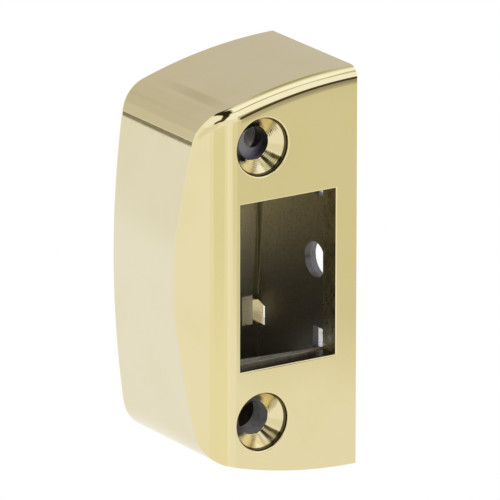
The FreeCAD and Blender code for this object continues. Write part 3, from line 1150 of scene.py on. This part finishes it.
def direction(azimuth: float, elevation: float) -> Array:
    """Unit vector towards a place around the strike.

    Args:
        azimuth: degrees from +X towards +Y.
        elevation: degrees above the level plane.

    Returns:
        The vector.
    """
    turn, rise = np.radians((azimuth, elevation))
    return np.array([np.cos(turn) * np.cos(rise), np.sin(turn) * np.cos(rise), np.sin(rise)])


@dataclass(frozen=True)
class Patch:
    """Light or dark patch of the studio: a round-ended strip between two directions."""

    start: tuple[float, float]
    end: tuple[float, float]
    reach: float
    soft: float
    color: Rgb
    strength: float = 1.0


@dataclass
class Dome:
    """Shell round the strike with the studio's soft boxes and gaps, seen by gloss alone.

    The patches were fitted to the reflections that the photograph shows, from its one view.
    """

    radius: float = 2.0
    base: Rgb = (1.0, 0.99, 0.9)
    patches: tuple[Patch, ...] = (
        # floor on the room side, cooler
        Patch((95, -45), (128, -30), 22, 8, (0.98, 1.0, 1.1)),
        Patch((122, -20), (128, -24), 12, 6, (0.97, 1.0, 1.12)),
        Patch((124, -9), (125, -11), 3.5, 4, (0.91, 0.94, 1.0)),
        # soft box on the room side and overhead
        Patch((-170, 50), (150, 52), 22, 8, (1.05, 1.09, 1.04)),
        Patch((-175, 10), (-130, 5), 14, 8, (0.9, 0.88, 0.74)),
        # soft box on the stop side
        Patch((-85, 42), (-62, 22), 20, 6, (1.12, 1.16, 1.2)),
        Patch((-90, 62), (-40, 50), 20, 6, (1.12, 1.16, 1.2)),
        Patch((-40, 60), (20, 70), 18, 6, (1.17, 1.22, 1.3)),
        Patch((15, 62), (36, 66), 8, 8, (1.0, 1.0, 0.85)),
        # grey wall behind
        Patch((45, 20), (75, 25), 26, 5, (0.66, 0.66, 0.65)),
        Patch((75, 20), (112, 22), 18, 5, (0.66, 0.64, 0.61)),
        Patch((30, 52), (50, 60), 9, 7, (0.66, 0.65, 0.48)),
        Patch((62, 42), (52, 54), 6, 6, (0.45, 0.43, 0.26)),
        Patch((112, 12), (125.8, 1.5), 7, 1.5, (0.72, 0.7, 0.66)),
        # folds of the wall
        Patch((71.5, 32.2), (72.8, 32.8), 0.25, 0.7, (0.55, 0.52, 0.47), 0.8),
        Patch((84, 37), (91, 37.5), 1.2, 2.6, (0.61, 0.58, 0.53), 0.15),
        Patch((111, 29.5), (115, 26), 1.0, 1.8, (0.6, 0.57, 0.53), 0.6),
        # gap between the soft boxes, from the camera over the top to the wall
        Patch((-124, 38), (-136, 34), 9, 5, (0.1, 0.08, 0.03)),
        Patch((-117, 34), (-114, 56), 7.5, 5, (0.08, 0.06, 0.02)),
        Patch((-114, 56), (-120, 80), 6.5, 4, (0.04, 0.03, 0.01)),
        Patch((-120, 80), (110, 78), 6.5, 4, (0.03, 0.02, 0.01)),
        Patch((110, 78), (95, 56), 8, 4, (0.03, 0.02, 0.01)),
        Patch((95, 56), (82, 47), 7, 3, (0.04, 0.03, 0.01)),
        # floor on the stop side and before the strike, warmer
        Patch((-50, -19.6), (-70, -19.6), 2.2, 1.2, (0.955, 0.94, 0.84)),
        Patch((-50, -15.9), (-69, -15.9), 2.1, 1.0, (0.8, 0.77, 0.58)),
        Patch((-70, -15.6), (-78, -15.6), 1.6, 1.8, (0.88, 0.85, 0.65)),
        Patch((-94, -18.5), (-126, -18.5), 3.6, 2, (0.98, 0.955, 0.76)),
        Patch((-99, -15.6), (-119, -15.6), 1.9, 1.8, (0.9, 0.88, 0.66)),
        Patch((-88.5, -5), (-88.5, -30), 2.4, 4.5, (1.06, 1.05, 0.92)),
        # seam in the stop side's soft box, and the dark line under it
        Patch((-43, 47), (-50, 43), 3.5, 3.5, (0.62, 0.62, 0.44)),
        Patch((-50, 44), (-55, 51), 3.4, 3.5, (0.7, 0.7, 0.52)),
        Patch((-55, 51), (-60, 58), 3.2, 3.5, (0.74, 0.74, 0.56)),
        Patch((-60, 58), (-67, 65), 3.2, 3.5, (0.6, 0.58, 0.36)),
        Patch((-67, 65), (-95, 70), 3.2, 3.5, (0.5, 0.48, 0.3)),
        Patch((-64, -6), (-70, 8), 5, 6, (0.7, 0.68, 0.46)),
        Patch((-70, 13), (-74, 18), 2.5, 5, (0.45, 0.43, 0.22)),
        Patch((-67, 8), (-70.5, 14), 1.2, 3, (0.5, 0.47, 0.26)),
        Patch((-64, 3), (-66.5, 7.5), 1.3, 3, (0.26, 0.22, 0.1)),
        Patch((-57.5, -8.4), (-61, -4), 5.8, 2.6, (0.07, 0.055, 0.02)),
        Patch((-61, -4), (-64, 1.5), 3.4, 3.6, (0.1, 0.08, 0.03)),
        # thin dark rail under the wall on the room side
        Patch((124.95, -6.6), (125.75, -6.75), 0.37, 0.1, (0.28, 0.27, 0.22)),
    )

    def build(self) -> None:
        """Make the shell and its glow."""
        mesh = bpy.data.meshes.new("studio_dome")
        shell = bmesh.new()
        bmesh.ops.create_icosphere(shell, subdivisions=5, radius=self.radius)
        shell.to_mesh(mesh)
        shell.free()
        mesh.shade_smooth()
        mesh.materials.append(self.glow())
        dome = bpy.data.objects.new("studio_dome", mesh)
        bpy.context.scene.collection.objects.link(dome)
        for ray in ("camera", "diffuse", "shadow", "transmission", "volume_scatter"):
            setattr(dome, f"visible_{ray}", False)

    def glow(self) -> bpy.types.Material:
        """Emission whose colour is the base with each patch laid over it in turn."""
        material = node_material("studio_dome")
        nodes = Nodes(material.node_tree)
        material.node_tree.nodes.clear()
        place = nodes.add("ShaderNodeTexCoord")
        unit = nodes.add("ShaderNodeVectorMath", operation="NORMALIZE")
        nodes.feed(place.outputs["Object"], unit.inputs[0])
        group = self.patch_mask()
        color = self.base
        for patch in self.patches:
            first, last = direction(*patch.start), direction(*patch.end)
            span = last - first
            mask = nodes.add("ShaderNodeGroup", node_tree=group)
            nodes.feed(unit.outputs[0], mask.inputs["Direction"])
            mask.inputs["Start"].default_value = first
            mask.inputs["Span"].default_value = span
            mask.inputs["Share"].default_value = span / max(span @ span, 1e-9)
            for name, way in (("Outer", 1), ("Inner", -1)):
                edge = max(patch.reach + way * patch.soft / 2, 0)
                mask.inputs[name].default_value = 2 * math.sin(math.radians(edge) / 2)
            mask.inputs["Strength"].default_value = patch.strength
            color = nodes.blend(color, patch.color, mask.outputs["Mask"])
        shine = nodes.add("ShaderNodeEmission")
        output = nodes.add("ShaderNodeOutputMaterial")
        nodes.feed(color, shine.inputs["Color"])
        nodes.feed(shine.outputs[0], output.inputs[0])
        return material

    def patch_mask(self) -> bpy.types.NodeTree:
        """Group that gives 1 near the strip between two directions and 0 away from it.

        The nearest point of the strip is its start plus the span times the share of the way,
        kept between 0 and 1. The mask falls smoothly from the inner to the outer distance.

        Returns:
            The group.
        """
        group = bpy.data.node_groups.new("patch_mask", "ShaderNodeTree")
        for name in ("Direction", "Start", "Span", "Share"):
            group.interface.new_socket(name, in_out="INPUT", socket_type="NodeSocketVector")
        for name in ("Inner", "Outer", "Strength"):
            group.interface.new_socket(name, in_out="INPUT", socket_type="NodeSocketFloat")
        group.interface.new_socket("Mask", in_out="OUTPUT", socket_type="NodeSocketFloat")
        nodes = Nodes(group)
        given = nodes.add("NodeGroupInput")
        made = nodes.add("NodeGroupOutput")
        away = nodes.add("ShaderNodeVectorMath", operation="SUBTRACT")
        nodes.feed(given.outputs["Direction"], away.inputs[0])
        nodes.feed(given.outputs["Start"], away.inputs[1])
        share = nodes.add("ShaderNodeVectorMath", operation="DOT_PRODUCT")
        nodes.feed(away.outputs[0], share.inputs[0])
        nodes.feed(given.outputs["Share"], share.inputs[1])
        held = nodes.add("ShaderNodeClamp")
        nodes.feed(share.outputs["Value"], held.inputs["Value"])
        along = nodes.add("ShaderNodeVectorMath", operation="SCALE")
        nodes.feed(given.outputs["Span"], along.inputs[0])
        nodes.feed(held.outputs[0], along.inputs["Scale"])
        distance = nodes.add("ShaderNodeVectorMath", operation="DISTANCE")
        nodes.feed(away.outputs[0], distance.inputs[0])
        nodes.feed(along.outputs[0], distance.inputs[1])
        fall = nodes.add("ShaderNodeMapRange", interpolation_type="SMOOTHSTEP")
        nodes.feed(distance.outputs["Value"], fall.inputs["Value"])
        nodes.feed(given.outputs["Outer"], fall.inputs["From Min"])
        nodes.feed(given.outputs["Inner"], fall.inputs["From Max"])
        weighed = nodes.add("ShaderNodeMath", operation="MULTIPLY")
        nodes.feed(fall.outputs["Result"], weighed.inputs[0])
        nodes.feed(given.outputs["Strength"], weighed.inputs[1])
        nodes.feed(weighed.outputs[0], made.inputs["Mask"])
        return group


@dataclass
class Studio:
    """Plain pale floor and soft light, with a dome that only the polished metal sees."""

    floor_z: float = -0.35
    floor_size: float = 8.0
    level: float = 0.9
    dome: Dome = field(default_factory=Dome)

    def build(self) -> None:
        """Make the floor, the world and the dome."""
        self.floor()
        self.world()
        self.dome.build()

    def floor(self) -> None:
        """Wide pale floor well below the strike, which its mount holds."""
        half = self.floor_size / 2
        mesh = bpy.data.meshes.new("floor")
        mesh.from_pydata([(-half, -half, self.floor_z), (half, -half, self.floor_z),
                          (half, half, self.floor_z), (-half, half, self.floor_z)], [], [(0, 1, 2, 3)])
        material = node_material("floor")
        nodes = Nodes(material.node_tree)
        shader = material.node_tree.nodes["Principled BSDF"]
        shader.inputs["Base Color"].default_value = (0.9, 0.9, 0.9, 1)
        shader.inputs["Roughness"].default_value = 0.8
        glow = nodes.add("ShaderNodeEmission")
        mix = nodes.add("ShaderNodeMixShader")
        nodes.feed(self.seen(nodes), mix.inputs[0])
        nodes.feed(shader.outputs[0], mix.inputs[1])
        nodes.feed(glow.outputs[0], mix.inputs[2])
        nodes.feed(mix.outputs[0], material.node_tree.nodes["Material Output"].inputs[0])
        mesh.materials.append(material)
        obj = bpy.data.objects.new("floor", mesh)
        obj.visible_glossy = False
        bpy.context.scene.collection.objects.link(obj)

    def seen(self, nodes: Nodes) -> bpy.types.NodeSocket:
        """Mask of rays that look at the white background: camera, glossy and transmission rays."""
        path = nodes.add("ShaderNodeLightPath")
        rays = nodes.math("MAXIMUM", path.outputs["Is Camera Ray"], path.outputs["Is Glossy Ray"])
        return nodes.math("MAXIMUM", rays, path.outputs["Is Transmission Ray"])

    def world(self) -> None:
        """White world, a little dimmer as a light than as a background."""
        world = bpy.data.worlds.new("studio")
        world.use_nodes = True
        bpy.context.scene.world = world
        nodes = Nodes(world.node_tree)
        background = world.node_tree.nodes["Background"]
        strength = nodes.range(self.seen(nodes), self.level, 1.0)
        nodes.feed(strength, background.inputs["Strength"])
        background.inputs["Color"].default_value = (1, 1, 1, 1)


@dataclass
class PhotoCamera:
    """Camera at the photograph's angle, found by fitting the outline, the mouth and the holes."""

    azimuth: float = 33.355
    elevation: float = 17.395
    roll: float = 0.273
    distance: float = 1500.0
    scale: float = 6.0154
    origin_x: float = 356.399
    origin_y: float = 266.061
    picture: float = 500.0
    sensor: float = 36.0
    fitted_from: tuple[float, float, float] = (18.5, -26.7, 0.25)

    def build(self) -> None:
        """Make the camera and set it as the scene's own."""
        turn, rise, roll = map(math.radians, (self.azimuth, self.elevation, self.roll))
        right = Vector((math.cos(turn), -math.sin(turn), 0))
        up = Vector((math.sin(turn) * math.sin(rise), math.cos(turn) * math.sin(rise), math.cos(rise)))
        back = Vector((-math.sin(turn) * math.cos(rise), -math.cos(turn) * math.cos(rise), math.sin(rise)))
        level = math.cos(roll) * right + math.sin(roll) * up
        steep = math.cos(roll) * up - math.sin(roll) * right
        middle = self.picture / 2
        aim = level * ((middle - self.origin_x) / self.scale) - steep * ((middle - self.origin_y) / self.scale)
        place = back * self.distance
        look = (aim - place).normalized()
        side = look.cross(steep).normalized()
        frame_up = side.cross(look)
        turned = Matrix((side, frame_up, -look)).transposed().to_4x4()
        data = bpy.data.cameras.new("photo_camera")
        data.sensor_width = self.sensor
        data.lens = self.scale * (aim - place).length / self.picture * self.sensor
        data.clip_start = 0.01
        data.clip_end = 50
        camera = bpy.data.objects.new("photo_camera", data)
        camera.matrix_world = Matrix.Translation((place + Vector(self.fitted_from)) * MM) @ turned
        bpy.context.scene.collection.objects.link(camera)
        bpy.context.scene.camera = camera


def main() -> None:
    """Build the strike, the studio and the camera in order."""
    logging.basicConfig(level=logging.INFO, format="%(name)s: %(message)s")
    bpy.context.scene.view_settings.view_transform = "Standard"
    casting = Casting().build()
    log.info("%s: %d faces", casting.name, len(casting.data.polygons))
    Studio().build()
    PhotoCamera().build()


if __name__ == "__main__":
    main()
